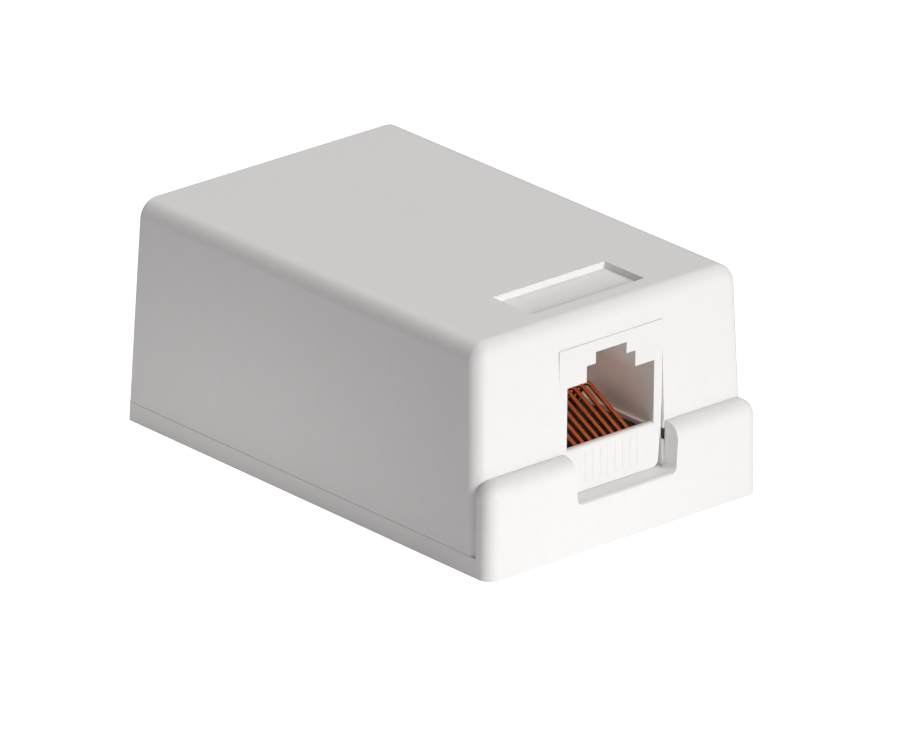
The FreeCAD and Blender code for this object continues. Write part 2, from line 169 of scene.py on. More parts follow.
def dress(piece, material):
    piece.data.materials.clear()
    piece.data.materials.append(material)


def seat(piece, body, material):
    dress(piece, material)
    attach(piece, body)


def standFor(piece, nodeName, body, material):
    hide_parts(nodeName)
    seat(piece, body, material)


# small node jobs; a socket is named by its label or its number

def addNode(tree, kind, sockets=None, **settings):
    node = tree.nodes.new(kind)
    for key, value in settings.items():
        setattr(node, key, value)
    for label, value in (sockets or {}).items():
        node.inputs[label].default_value = value
    return node


def newMaterial(name, sockets):
    material = bpy.data.materials.new(name)
    material.use_nodes = True
    shader = material.node_tree.nodes["Principled BSDF"]
    for label, value in sockets.items():
        shader.inputs[label].default_value = value
    return material, material.node_tree, shader


# camera at the low three-quarter view, far off with a long lens
cameraView = {
    "azimuth": -41.46,
    "elevation": 22.43,
    "roll": 0.507,
    "distance": 1.32285,
    "lens": 511.97,
    "aimRight": -0.000811,    # the frame's middle against the body's middle
    "aimUp": 0.002598,
    "clipNear": 0.05,
    "clipFar": 20,
}


def placeCamera(view):
    azimuth, elevation, roll = (math.radians(view[key]) for key in ("azimuth", "elevation", "roll"))
    back = Vector((math.sin(azimuth) * math.cos(elevation), -math.cos(azimuth) * math.cos(elevation),
                   math.sin(elevation)))
    levelRight = (-back).cross(Vector((0, 0, 1))).normalized()
    levelUp = levelRight.cross(-back)
    right = math.cos(roll) * levelRight + math.sin(roll) * levelUp
    up = math.cos(roll) * levelUp - math.sin(roll) * levelRight
    middle = (cadLow + cadHigh) / 2
    place = middle + back * view["distance"] - right * view["aimRight"] - up * view["aimUp"]
    camera = bpy.data.objects.new("viewCamera", bpy.data.cameras.new("viewCamera"))
    camera.data.lens = view["lens"]
    camera.data.clip_start = view["clipNear"]
    camera.data.clip_end = view["clipFar"]
    camera.matrix_world = Matrix((
        (right.x, up.x, back.x, place.x),
        (right.y, up.y, back.y, place.y),
        (right.z, up.z, back.z, place.z),
        (0, 0, 0, 1)))
    bpy.context.scene.collection.objects.link(camera)
    bpy.context.scene.camera = camera


placeCamera(cameraView)
print("camera placed")


# studio: a pale floor, a soft light in front, a larger one above and behind, and a gentle overall light
studio = {
    "floorSize": 12.0,
    "floorTone": (0.65, 0.65, 0.65),
    "floorRough": 0.9,
    "floorGlow": 0.9,         # lifts the floor to white where the camera sees it
    "glowTone": (1.0, 0.945, 0.955),
    "pools": [                # brighter patches beside the box, as light comes back from a white table
        {"place": (-0.045, 0.015, 0.0), "radius": 0.055, "glow": 0.66},
        {"place": (-0.01, -0.05, 0.0), "radius": 0.06, "glow": 0.39},
    ],
    "worldTone": (1.0, 0.985, 0.99),
    "worldLight": 0.139,
    "worldSeen": 1.1,         # the background is this bright where the camera sees it
    "frontPlace": (0.1, -2.1, 0.9),
    "frontSize": 0.9,
    "frontPower": 37.8,
    "frontTone": (1.0, 0.995, 0.98),
    "topPlace": (0.4, 1.1, 1.85),
    "topSize": 1.8,
    "topPower": 19.3,
    "topTone": (1.0, 0.965, 0.965),
}


def layFloor(values):
    letGo()
    bpy.ops.mesh.primitive_plane_add(size=values["floorSize"], location=(0, 0, 0))
    floor = bpy.context.object
    floor.name = "studioFloor"
    material, tree, shader = newMaterial("paleFloor", {
        "Base Color": (*values["floorTone"], 1), "Roughness": values["floorRough"],
        "Emission Color": (*values["glowTone"], 1)})
    link = tree.links.new
    sight = addNode(tree, "ShaderNodeLightPath")
    place = addNode(tree, "ShaderNodeTexCoord")
    glow = addNode(tree, "ShaderNodeMath", {1: values["floorGlow"]}, operation="MULTIPLY")
    link(sight.outputs["Is Camera Ray"], glow.inputs[0])
    for patch in values["pools"]:
        away = addNode(tree, "ShaderNodeVectorMath", {1: patch["place"]}, operation="DISTANCE")
        pool = addNode(tree, "ShaderNodeMapRange", {
            "From Max": patch["radius"], "To Min": patch["glow"], "To Max": 0},
            interpolation_type="SMOOTHSTEP")
        both = addNode(tree, "ShaderNodeMath", operation="ADD")
        link(place.outputs["Object"], away.inputs[0])
        link(away.outputs["Value"], pool.inputs["Value"])
        link(glow.outputs[0], both.inputs[0])
        link(pool.outputs["Result"], both.inputs[1])
        glow = both
    link(glow.outputs[0], shader.inputs["Emission Strength"])
    dress(floor, material)


def lightWorld(values):
    world = bpy.data.worlds.new("studioWorld")
    world.use_nodes = True
    bpy.context.scene.world = world
    tree = world.node_tree
    background = tree.nodes["Background"]
    background.inputs["Color"].default_value = (*values["worldTone"], 1)
    sight = addNode(tree, "ShaderNodeLightPath")
    level = addNode(tree, "ShaderNodeMapRange", {
        "To Min": values["worldLight"], "To Max": values["worldSeen"]})
    tree.links.new(sight.outputs["Is Camera Ray"], level.inputs["Value"])
    tree.links.new(level.outputs["Result"], background.inputs["Strength"])


def softLight(side, values):
    lamp = bpy.data.lights.new(side + "Light", "AREA")
    lamp.shape = "DISK"
    lamp.size = values[side + "Size"]
    lamp.energy = values[side + "Power"]
    lamp.color = values[side + "Tone"]
    light = bpy.data.objects.new(side + "Light", lamp)
    light.location = values[side + "Place"]
    light.rotation_mode = "QUATERNION"
    light.rotation_quaternion = Vector(values[side + "Place"]).to_track_quat("Z", "Y")
    bpy.context.scene.collection.objects.link(light)


bpy.context.scene.view_settings.view_transform = "Standard"
layFloor(studio)
lightWorld(studio)
for side in ("front", "top"):
    softLight(side, studio)
print("studio lit")


# shared surface effects
grainShape = {
    "Grain": 3,               # detail of each noise
    "Wave": 1,
}
toneShape = {
    "detail": 4,
    "broken": 0.6,
    "cloudLow": 0.3,          # the gloss changes between these levels of the cloud
    "cloudHigh": 0.7,
}
dirtLightWearShape = {
    "samples": 4,
    "pocketOpen": 0.25,       # a pocket no more open than this takes the full tone: dust, and on the socket painted warm light
    "fadeIn": 0.002,          # the tone comes in over this length behind its front
    "edgeFrom": 0.05,
    "edgeFull": 0.5,
    "patchScale": 900.0,
    "patchDetail": 3,
    "wornTone": (0.92, 0.92, 0.915),
    "dirtAndLightDull": 0.2,
    "rubGloss": 0.25,
}
everywhere = -1.0             # a tone front well ahead of the box leaves no place out


def newGroup(name, inputs, outputs):
    # an input with a tuple is a colour and one with a number is plain
    group = bpy.data.node_groups.new(name, "ShaderNodeTree")
    for label, value in inputs.items():
        kind = "NodeSocketColor" if isinstance(value, tuple) else "NodeSocketFloat"
        socket = group.interface.new_socket(label, in_out="INPUT", socket_type=kind)
        socket.default_value = value
    for label, kind in outputs.items():
        group.interface.new_socket(label, in_out="OUTPUT", socket_type=kind)
    return group, group.nodes.new("NodeGroupInput"), group.nodes.new("NodeGroupOutput")


def buildMouldGrain(values):
    # fine eroded texture of a moulding tool, over a slow sink-mark wave
    group, start, end = newGroup("mouldGrain", {
        "Grain Scale": 6000.0, "Grain": 0.5, "Wave Scale": 120.0, "Wave": 0.5},
        {"Height": "NodeSocketFloat"})
    link = group.links.new
    place = addNode(group, "ShaderNodeTexCoord")
    both = addNode(group, "ShaderNodeMath", operation="ADD")
    for index, label in enumerate(("Grain", "Wave")):
        texture = addNode(group, "ShaderNodeTexNoise", {"Detail": values[label]})
        part = addNode(group, "ShaderNodeMath", operation="MULTIPLY")
        link(place.outputs["Object"], texture.inputs["Vector"])
        link(start.outputs[label + " Scale"], texture.inputs["Scale"])
        link(texture.outputs["Fac"], part.inputs[0])
        link(start.outputs[label], part.inputs[1])
        link(part.outputs[0], both.inputs[index])
    link(both.outputs[0], end.inputs["Height"])
    return group


def buildFlowTone(values):
    # slow cloudy change of colour and gloss, as resin flow leaves it
    group, start, end = newGroup("flowTone", {
        "Color": (0.8, 0.8, 0.8, 1), "Shade": (0.7, 0.7, 0.7, 1), "Scale": 90.0,
        "Rough Low": 0.35, "Rough High": 0.45},
        {"Color": "NodeSocketColor", "Roughness": "NodeSocketFloat"})
    link = group.links.new
    place = addNode(group, "ShaderNodeTexCoord")
    cloud = addNode(group, "ShaderNodeTexNoise", {"Detail": values["detail"], "Roughness": values["broken"]})
    mix = addNode(group, "ShaderNodeMix", data_type="RGBA")
    rough = addNode(group, "ShaderNodeMapRange", {
        "From Min": values["cloudLow"], "From Max": values["cloudHigh"]})
    link(place.outputs["Object"], cloud.inputs["Vector"])
    link(start.outputs["Scale"], cloud.inputs["Scale"])
    link(cloud.outputs["Fac"], mix.inputs["Factor"])
    link(start.outputs["Color"], mix.inputs[6])
    link(start.outputs["Shade"], mix.inputs[7])
    link(cloud.outputs["Fac"], rough.inputs["Value"])
    link(start.outputs["Rough Low"], rough.inputs["To Min"])
    link(start.outputs["Rough High"], rough.inputs["To Max"])
    link(mix.outputs[2], end.inputs["Color"])
    link(rough.outputs["Result"], end.inputs["Roughness"])
    return group


def buildDirtLightAndWear(values):
    # corners and pockets behind a front take a tone found by occlusion: dust on most parts, painted warm
    # light inside the socket's opening;
    # handled edges wear paler and glossier
    group, start, end = newGroup("dirtLightAndWear", {
        "Color": (0.8, 0.8, 0.8, 1), "Roughness": 0.5, "Dirt And Light Color": (0.6, 0.5, 0.4, 1), "Dirt And Light": 0.3,
        "Dirt And Light Front": everywhere, "Dirt And Light Reach": 0.001, "Rub": 0.3, "Rub Reach": 0.0003},
        {"Color": "NodeSocketColor", "Roughness": "NodeSocketFloat"})
    link = group.links.new
    place = addNode(group, "ShaderNodeTexCoord")

    # how much dust and painted light a place takes
    axes = addNode(group, "ShaderNodeSeparateXYZ")
    behind = addNode(group, "ShaderNodeMath", operation="SUBTRACT")
    inside = addNode(group, "ShaderNodeMapRange", {"From Max": values["fadeIn"]},
                     interpolation_type="SMOOTHSTEP")
    pocket = addNode(group, "ShaderNodeAmbientOcclusion", samples=values["samples"])
    deep = addNode(group, "ShaderNodeMapRange", {"From Min": 1.0, "From Max": values["pocketOpen"]})
    link(place.outputs["Object"], axes.inputs["Vector"])
    link(axes.outputs["Y"], behind.inputs[0])
    link(start.outputs["Dirt And Light Front"], behind.inputs[1])
    link(behind.outputs[0], inside.inputs["Value"])
    link(start.outputs["Dirt And Light"], inside.inputs["To Max"])
    link(start.outputs["Dirt And Light Reach"], pocket.inputs["Distance"])
    link(pocket.outputs["AO"], deep.inputs["Value"])
    link(inside.outputs["Result"], deep.inputs["To Max"])

    # how rubbed an edge is, in patches
    edge = addNode(group, "ShaderNodeAmbientOcclusion", samples=values["samples"], inside=True,
                   only_local=True)
    worn = addNode(group, "ShaderNodeMapRange", {
        "From Min": values["edgeFrom"], "From Max": values["edgeFull"]}, interpolation_type="SMOOTHSTEP")
    broken = addNode(group, "ShaderNodeTexNoise", {
        "Scale": values["patchScale"], "Detail": values["patchDetail"]})
    patchy = addNode(group, "ShaderNodeMath", operation="MULTIPLY")
    link(start.outputs["Rub Reach"], edge.inputs["Distance"])
    link(edge.outputs["AO"], worn.inputs["Value"])
    link(start.outputs["Rub"], worn.inputs["To Max"])
    link(place.outputs["Object"], broken.inputs["Vector"])
    link(worn.outputs["Result"], patchy.inputs[0])
    link(broken.outputs["Fac"], patchy.inputs[1])

    # what both do to the colour and the gloss
    pocketMix = addNode(group, "ShaderNodeMix", data_type="RGBA")
    paler = addNode(group, "ShaderNodeMix", {7: (*values["wornTone"], 1)}, data_type="RGBA")
    dull = addNode(group, "ShaderNodeMath", {1: values["dirtAndLightDull"]}, operation="MULTIPLY_ADD")
    polish = addNode(group, "ShaderNodeMath", {1: -values["rubGloss"]}, operation="MULTIPLY_ADD",
                     use_clamp=True)
    link(deep.outputs["Result"], pocketMix.inputs["Factor"])
    link(start.outputs["Color"], pocketMix.inputs[6])
    link(start.outputs["Dirt And Light Color"], pocketMix.inputs[7])
    link(patchy.outputs[0], paler.inputs["Factor"])
    link(pocketMix.outputs[2], paler.inputs[6])
    link(deep.outputs["Result"], dull.inputs[0])
    link(start.outputs["Roughness"], dull.inputs[2])
    link(patchy.outputs[0], polish.inputs[0])
    link(dull.outputs[0], polish.inputs[2])
    link(paler.outputs[2], end.inputs["Color"])
    link(polish.outputs[0], end.inputs["Roughness"])
    return group


mouldGrain = buildMouldGrain(grainShape)
flowTone = buildFlowTone(toneShape)
dirtLightAndWear = buildDirtLightAndWear(dirtLightWearShape)


def addTone(tree, values):
    return addNode(tree, "ShaderNodeGroup", {
        "Color": (*values["color"], 1), "Shade": (*values["shade"], 1), "Scale": values["cloud"],
        "Rough Low": values["rough"][0], "Rough High": values["rough"][1]}, node_tree=flowTone)


def plastic(name, values):
    # moulded or painted: cloudy tone, fine grain, pockets with dust and painted light, and rubbed edges
    material, tree, shader = newMaterial(name, {
        "IOR": values["ior"], "Specular IOR Level": values["shine"]})
    link = tree.links.new
    tone = addTone(tree, values)
    grain = addNode(tree, "ShaderNodeGroup", {
        "Grain Scale": values["grainScale"], "Grain": values["grain"],
        "Wave Scale": values["waveScale"], "Wave": values["wave"]}, node_tree=mouldGrain)
    marks = addNode(tree, "ShaderNodeGroup", {
        "Dirt And Light Color": (*values["dirtAndLightColor"], 1), "Dirt And Light": values["dirtAndLight"],
        "Dirt And Light Reach": values["dirtAndLightReach"], "Dirt And Light Front": values.get("dirtAndLightFront", everywhere),
        "Rub": values["rub"], "Rub Reach": values["rubReach"]}, node_tree=dirtLightAndWear)
    bump = addNode(tree, "ShaderNodeBump", {"Strength": values["bump"], "Distance": values["bumpDepth"]})
    link(grain.outputs["Height"], bump.inputs["Height"])
    link(bump.outputs["Normal"], shader.inputs["Normal"])
    link(tone.outputs["Color"], marks.inputs["Color"])
    link(tone.outputs["Roughness"], marks.inputs["Roughness"])
    link(marks.outputs["Color"], shader.inputs["Base Color"])
    link(marks.outputs["Roughness"], shader.inputs["Roughness"])
    return material


satinShell = plastic("satinShell", {
    "color": (0.86, 0.86, 0.855), "shade": (0.845, 0.845, 0.84), "cloud": 70.0, "rough": (0.52, 0.60),
    "ior": 1.5, "shine": 0.35, "grainScale": 9000.0, "grain": 0.6, "waveScale": 140.0, "wave": 1.0,
    "bump": 0.35, "bumpDepth": 0.00003, "dirtAndLightColor": (0.62, 0.58, 0.53), "dirtAndLight": 0.10,
    "dirtAndLightReach": 0.0012, "rub": 0.5, "rubReach": 0.0003})
# on the socket the pocket tone is lighter and warmer than its white: a painted warm light inside the
# opening, standing in for light bounced off the copper and through the thin walls
glossSocket = plastic("glossSocket", {
    "color": (0.86, 0.855, 0.845), "shade": (0.84, 0.835, 0.825), "cloud": 160.0, "rough": (0.42, 0.50),
    "ior": 1.5, "shine": 0.4, "grainScale": 12000.0, "grain": 0.25, "waveScale": 300.0, "wave": 0.5,
    "bump": 0.25, "bumpDepth": 0.00002, "dirtAndLightColor": (1.0, 0.89, 0.82), "dirtAndLight": 1.0,
    "dirtAndLightReach": 0.007, "rub": 0.5, "rubReach": 0.00025,
    "dirtAndLightFront": -0.0257})    # the painted warm light lies only inside the opening
# the comb's black has a slight brown tint, a painted reflection of the copper wires
blackComb = plastic("blackComb", {
    "color": (0.012, 0.006, 0.004), "shade": (0.009, 0.007, 0.006), "cloud": 300.0, "rough": (0.35, 0.5),
    "ior": 1.5, "shine": 0.1, "grainScale": 12000.0, "grain": 0.6, "waveScale": 400.0, "wave": 0.6,
    "bump": 0.35, "bumpDepth": 0.00002, "dirtAndLightColor": (0.03, 0.02, 0.015), "dirtAndLight": 0.3,
    "dirtAndLightReach": 0.0005, "rub": 0.03, "rubReach": 0.0001})
blockNylon = plastic("blockNylon", {
    "color": (0.80, 0.80, 0.785), "shade": (0.77, 0.77, 0.75), "cloud": 220.0, "rough": (0.3, 0.42),
    "ior": 1.53, "shine": 0.5, "grainScale": 9000.0, "grain": 0.4, "waveScale": 260.0, "wave": 0.8,
    "bump": 0.3, "bumpDepth": 0.00002, "dirtAndLightColor": (0.55, 0.50, 0.44), "dirtAndLight": 0.3,
    "dirtAndLightReach": 0.0012, "rub": 0.5, "rubReach": 0.0003})
maskFilm = {                  # what the board's mask is like everywhere
    "ior": 1.5, "shine": 0.5, "grainScale": 5000.0, "grain": 0.3, "waveScale": 900.0, "wave": 0.8,
    "bump": 0.25, "bumpDepth": 0.00002, "dirtAndLightColor": (0.10, 0.14, 0.08), "rub": 0.0, "rubReach": 0.0001}
boardMask = plastic("boardMask", {
    **maskFilm, "color": (0.012, 0.16, 0.045), "shade": (0.009, 0.13, 0.036), "cloud": 260.0,
    "rough": (0.16, 0.26), "dirtAndLight": 0.25, "dirtAndLightReach": 0.001})
maskedCopper = plastic("maskedCopper", {
    **maskFilm, "color": (0.03, 0.27, 0.075), "shade": (0.022, 0.22, 0.06), "cloud": 500.0,
    "rough": (0.14, 0.24), "dirtAndLight": 0.1, "dirtAndLightReach": 0.0005})


def metal(name, values):
    # drawn or rolled metal: patches of tarnish, and fine streaks where the stretch is uneven
    material, tree, shader = newMaterial(name, {"Metallic": 1.0})
    link = tree.links.new
    tone = addTone(tree, values)
    place = addNode(tree, "ShaderNodeTexCoord")
    stretch = addNode(tree, "ShaderNodeMapping", {"Scale": values["stretch"]})
    streaks = addNode(tree, "ShaderNodeTexNoise", {
        "Scale": values["streakScale"], "Detail": values["streakDetail"]})
    bump = addNode(tree, "ShaderNodeBump", {"Strength": values["bump"], "Distance": values["bumpDepth"]})
    link(place.outputs["Object"], stretch.inputs["Vector"])
    link(stretch.outputs["Vector"], streaks.inputs["Vector"])
    link(streaks.outputs["Fac"], bump.inputs["Height"])
    link(bump.outputs["Normal"], shader.inputs["Normal"])
    link(tone.outputs["Color"], shader.inputs["Base Color"])
    link(tone.outputs["Roughness"], shader.inputs["Roughness"])
    return material


metalSkin = {"streakDetail": 2, "bumpDepth": 0.00001}
copperWire = metal("copperWire", {
    **metalSkin, "color": (1.0, 0.33, 0.13), "shade": (0.88, 0.24, 0.085), "cloud": 700.0,
    "rough": (0.08, 0.16), "stretch": (1.0, 0.08, 0.08), "streakScale": 6000.0, "bump": 0.08})
tinFork = metal("tinFork", {
    **metalSkin, "color": (0.72, 0.71, 0.68), "shade": (0.60, 0.59, 0.56), "cloud": 700.0,
    "rough": (0.2, 0.38), "stretch": (1.0, 1.0, 0.08), "streakScale": 9000.0, "bump": 0.3})
zincScrew = metal("zincScrew", {
    **metalSkin, "color": (0.66, 0.66, 0.65), "shade": (0.52, 0.52, 0.51), "cloud": 800.0,
    "rough": (0.24, 0.42), "stretch": (1.0, 1.0, 1.0), "streakScale": 7000.0, "bump": 0.3})


# the mask covers only the faces of the board; its cut edges show the glass laminate
laminate = {
    "color": (0.34, 0.33, 0.14),
    "levelFrom": 0.4,         # how level a face is where the mask starts, and where it is whole
    "levelFull": 0.6,
}


def bareEdges(material, values):
    tree = material.node_tree
    link = tree.links.new
    shader = tree.nodes["Principled BSDF"]
    mask = shader.inputs["Base Color"].links[0].from_socket
    facing = addNode(tree, "ShaderNodeNewGeometry")
    axes = addNode(tree, "ShaderNodeSeparateXYZ")
    upright = addNode(tree, "ShaderNodeMath", operation="ABSOLUTE")
    level = addNode(tree, "ShaderNodeMapRange", {
        "From Min": values["levelFrom"], "From Max": values["levelFull"]})
    mix = addNode(tree, "ShaderNodeMix", {6: (*values["color"], 1)}, data_type="RGBA")
    link(facing.outputs["Normal"], axes.inputs["Vector"])
    link(axes.outputs["Z"], upright.inputs[0])
    link(upright.outputs[0], level.inputs["Value"])
    link(level.outputs["Result"], mix.inputs["Factor"])
    link(mask, mix.inputs[7])
    link(mix.outputs[2], shader.inputs["Base Color"])


bareEdges(boardMask, laminate)
print("materials mixed")


# moulded pieces: each CAD node's copy is welded, its sharp edges are lightly broken and it is shaded smooth
shellEdges = {
    "weld": 0.000001,
    "flatAngle": 0.3,
    "sharpAngle": 30,
    "width": 0.00008,
    "smoothAngle": 35,
    "normalWeight": 80,
}
breakWidths = {"socket": 0.00006, "comb": 0.00004, "block": 0.0001}


def mouldedCopy(nodeName, pieceName, body, material, values, lessBreak=()):
    # lessBreak holds pairs: a test for edges, and what it takes off their bevel weight of 1
    piece = bpy.data.objects.new(pieceName, nodes[nodeName].data.copy())
    bpy.context.scene.collection.objects.link(piece)
    editAll(piece)
    bpy.ops.mesh.remove_doubles(threshold=values["weld"])
    bpy.ops.mesh.dissolve_limited(angle_limit=math.radians(values["flatAngle"]))
    bpy.ops.mesh.select_mode(type="EDGE")
    bpy.ops.mesh.select_all(action="DESELECT")
    bpy.ops.mesh.edges_select_sharp(sharpness=math.radians(values["sharpAngle"]))
    bpy.ops.transform.edge_bevelweight(value=1)
    for test, less in lessBreak:
        pick(piece, "EDGE", test)
        bpy.ops.transform.edge_bevelweight(value=-less)
    addModifier(piece, "BEVEL", width=values["width"], segments=edgeSteps, limit_method="WEIGHT")
    smoothShade(piece, values["smoothAngle"])
    addModifier(piece, "WEIGHTED_NORMAL", keep_sharp=True, weight=values["normalWeight"])
    standFor(piece, nodeName, body, material)
    return piece


# the joints round the socket and under the cover stay fine lines, so their edges are broken less
socketLow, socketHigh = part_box("jack_housing")
coverLow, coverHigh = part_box("cover")
jointEdges = {
    "near": 0.0003,
    "frontDepth": 0.001,
    "outlineWidth": 0.0005,
    "sillTop": 0.0103,
    "plateGap": 0.0001,
    "rimWidth": 0.001,
    "aroundSocket": 1,        # taken off the bevel weight
    "underCover": 0.75,
}


def alongSocket(c):
    near = jointEdges["near"]
    return (c.y < socketLow.y + jointEdges["frontDepth"] and abs(c.x) < socketHigh.x + near
            and c.z < socketHigh.z + near)


def onSocketOutline(c):
    near = jointEdges["near"]
    return c.y < socketLow.y + near and (
        abs(c.x) > socketHigh.x - jointEdges["outlineWidth"] or c.z > socketHigh.z - near
        or c.z < jointEdges["sillTop"])


def onCoverRim(c):
    return c.z < coverLow.z + hair


def onPlateRim(c):
    width, plateTop = jointEdges["rimWidth"], coverLow.z - jointEdges["plateGap"]
    return abs(c.z - plateTop) < hair and (abs(c.x) > coverHigh.x - width or c.y > coverHigh.y - width)


coverShell = mouldedCopy(
    "cover", "coverShell", "cover", satinShell, shellEdges,
    ((alongSocket, jointEdges["aroundSocket"]), (onCoverRim, jointEdges["underCover"])))
mouldedCopy("base", "baseTray", "base", satinShell, shellEdges,
            ((onPlateRim, jointEdges["underCover"]),))
socketBody = mouldedCopy("jack_housing", "socketBody", "base", glossSocket,
                         {**shellEdges, "width": breakWidths["socket"]},
                         ((onSocketOutline, jointEdges["aroundSocket"]),))
mouldedCopy("contact_carrier", "combCarrier", "base", blackComb,
            {**shellEdges, "width": breakWidths["comb"]})
for side in ("left", "right"):
    mouldedCopy("idc_block_" + side, side + "WireBlock", "base", blockNylon,
                {**shellEdges, "width": breakWidths["block"]})
print("moulded pieces finished")


# the cover closes to a hairline round the socket and comes down to the plate, the window in its cut-out
# gets lower, and the sill's grooves are shallow; the bands, the reaches and wallDepth only say which
# corners move
jointShape = {
    "rimBand": 0.00005,
    "rimDrop": 0.00007,
    "wallDepth": 0.0025,
    "cutGap": 0.00008,        # round the socket in CAD
    "cutBand": 0.00017,
    "hairline": 0.000012,
    "windowTop": 0.010,
    "windowBand": 0.00015,
    "windowReach": 0.001,
    "windowDrop": 0.0008,
    "grooveDepth": 0.00008,
    "grooveLeft": 0.000035,
    "grooveReach": 0.005,
    "grooveTop": 0.0102,
}


def closeJoint(values):
    wall, top = socketHigh.x + values["cutGap"], socketHigh.z + values["cutGap"]
    wallBack = socketLow.y + values["wallDepth"]
    closing = values["cutGap"] - values["hairline"]
    editAll(coverShell)
    pick(coverShell, "VERT", lambda c: c.z < coverLow.z + values["rimBand"])
    shift((0, 0, -values["rimDrop"]))
    for side in (-1, 1):
        pick(coverShell, "VERT", lambda c: c.y < wallBack and c.z < top
             and wall - values["cutBand"] < side * c.x < wall + hair)
        shift((-side * closing, 0, 0))
    pick(coverShell, "VERT", lambda c: c.y < wallBack and abs(c.x) < wall
         and top - values["cutBand"] < c.z < top + hair)
    shift((0, 0, -closing))
    front = max((face for face in coverShell.data.polygons if face.normal.y < -lookShare),
                key=lambda face: face.area)
    downFront = Vector((0, front.normal.z / front.normal.y, -1))
    pick(coverShell, "VERT", lambda c: c.y < wallBack and abs(c.x) < socketHigh.x + values["windowReach"]
         and abs(c.z - values["windowTop"]) < values["windowBand"])
    shift(downFront * values["windowDrop"])
    editAll(socketBody)
    grooveFloor = socketLow.y + values["grooveDepth"]
    pick(socketBody, "VERT", lambda c: abs(c.y - grooveFloor) < hair
         and abs(c.x) < values["grooveReach"] and c.z < values["grooveTop"])
    shift((0, values["grooveLeft"] - values["grooveDepth"], 0))
    letGo()


closeJoint(jointShape)


# cheeks on the tray, closing the joint from the notch's wall back to the socket's foot;
# a thin fin goes on up behind the socket's front edge
cheekShape = {
    "floor": 0.0054,
    "top": 0.0084,
    "front": -0.02644,
    "back": -0.0252,
    "outside": 0.00706,
    "insideBack": 0.006705,
    "insideFront": 0.00701,
    "lean": 0.00012,          # the socket's side widens upwards
    "finFront": -0.02594,
    "finTop": 0.0118,
    "finInside": 0.007015,
    "edgeRound": 0.00001,
    "near": 0.0001,
    "smoothAngle": 40,
}


def addCheek(name, side, values):
    outside, near = values["outside"], values["near"]
    size = (outside - values["insideBack"], values["back"] - values["front"],
            values["top"] - values["floor"])
    middle = Vector((side * (outside + values["insideBack"]) / 2,
                     (values["back"] + values["front"]) / 2, (values["top"] + values["floor"]) / 2))
    cheek = startBox(name, middle, size)
    pick(cheek, "VERT", lambda c: side * (c.x - middle.x) < 0 and c.y < middle.y)
    shift((side * (values["insideFront"] - values["insideBack"]), 0, 0))
    pick(cheek, "VERT", lambda c: side * c.x < outside - near and c.y > middle.y and c.z > middle.z)
    shift((side * values["lean"], 0, 0))
    cutAcross((0, values["finFront"], 0), (0, 1, 0))
    pick(cheek, "FACE", lambda c, n: n.z > lookShare and c.y > values["finFront"])
    pull((0, 0, values["finTop"] - values["top"]))
    pick(cheek, "VERT", lambda c: c.z > values["top"] + near and side * c.x < outside - hair)
    bpy.ops.transform.resize(value=(0, 1, 1), center_override=(side * values["finInside"], 0, 0))
    bpy.ops.mesh.select_all(action="SELECT")
    roundPicked(values["edgeRound"], edgeSteps)
    closeUp(cheek)
    smoothShade(cheek, values["smoothAngle"])
    seat(cheek, "base", satinShell)


for side, name in ((-1, "leftCheek"), (1, "rightCheek")):
    addCheek(name, side, cheekShape)
print("socket joint closed")


# contact wires: one is bent for each row of pins and copied along the row
contacts = 8                  # wires, and forks, are numbered from 1
wireShape = {
    "radius": 0.00025,
    "sides": 14,
    "riserBend": 0.0006,      # bend radii are to the wire's middle line
    "riserSteps": 8,
    "runLevel": 0.00846,
    "noseBend": 0.0008,
    "noseSteps": 14,
    "riseAngle": 28.0,
    "riseLength": 0.00635,
    "crestBend": 0.0009,
    "crestSteps": 9,
    "dropAngle": 60.0,
    "dropLength": 0.0033,
    "tipRound": 0.00016,
    "tipSteps": 4,
    "smoothAngle": 40,
}


def bendWire(name, nodeName, values):
    low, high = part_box(nodeName)
    radius, across = values["radius"], (low.x + high.x) / 2
    riserBend, noseBend = values["riserBend"], values["noseBend"]
    pinPlace, nosePlace = high.y - radius, low.y + radius + noseBend
    riserTop, noseLevel = values["runLevel"] - riserBend, values["runLevel"] + noseBend
    rise, drop = math.radians(values["riseAngle"]), math.radians(values["dropAngle"])
    letGo()
    bpy.ops.mesh.primitive_circle_add(vertices=values["sides"], radius=radius, fill_type="NGON",
                                      location=(across, pinPlace, low.z))
    wire = startPiece(name)

    def bend(center, turn, steps):
        bpy.ops.mesh.spin(steps=steps, angle=turn, center=(across, *center), axis=(1, 0, 0))

    pull((0, 0, riserTop - low.z))
    bend((pinPlace - riserBend, riserTop), -math.pi / 2, values["riserSteps"])
    pull((0, nosePlace - pinPlace + riserBend, 0))
    bend((nosePlace, noseLevel), math.radians(180 - values["riseAngle"]), values["noseSteps"])
    lift = Vector((0, math.cos(rise), math.sin(rise)))
    inwards = Vector((0, math.sin(rise), -math.cos(rise)))
    pull(lift * values["riseLength"])
    start = Vector((0, nosePlace - math.sin(rise) * noseBend, noseLevel + math.cos(rise) * noseBend))
    crest = start + lift * values["riseLength"] + inwards * values["crestBend"]
    bend((crest.y, crest.z), rise + drop, values["crestSteps"])
    pull((0, math.cos(drop) * values["dropLength"], -math.sin(drop) * values["dropLength"]))
    roundPicked(values["tipRound"], values["tipSteps"])
    closeUp(wire)
    smoothShade(wire, values["smoothAngle"])
    return wire


for first in (1, 2):
    source = "contact_wire_" + str(first)
    wire = bendWire("contactWire" + str(first), source, wireShape)
    for number in range(first, contacts + 1, 2):
        target = "contact_wire_" + str(number)
        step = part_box(target)[0].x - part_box(source)[0].x
        piece = copyTo(wire, "contactWire" + str(number), (step, 0, 0)) if number > first else wire
        standFor(piece, target, "base", copperWire)
print("contact wires bent")


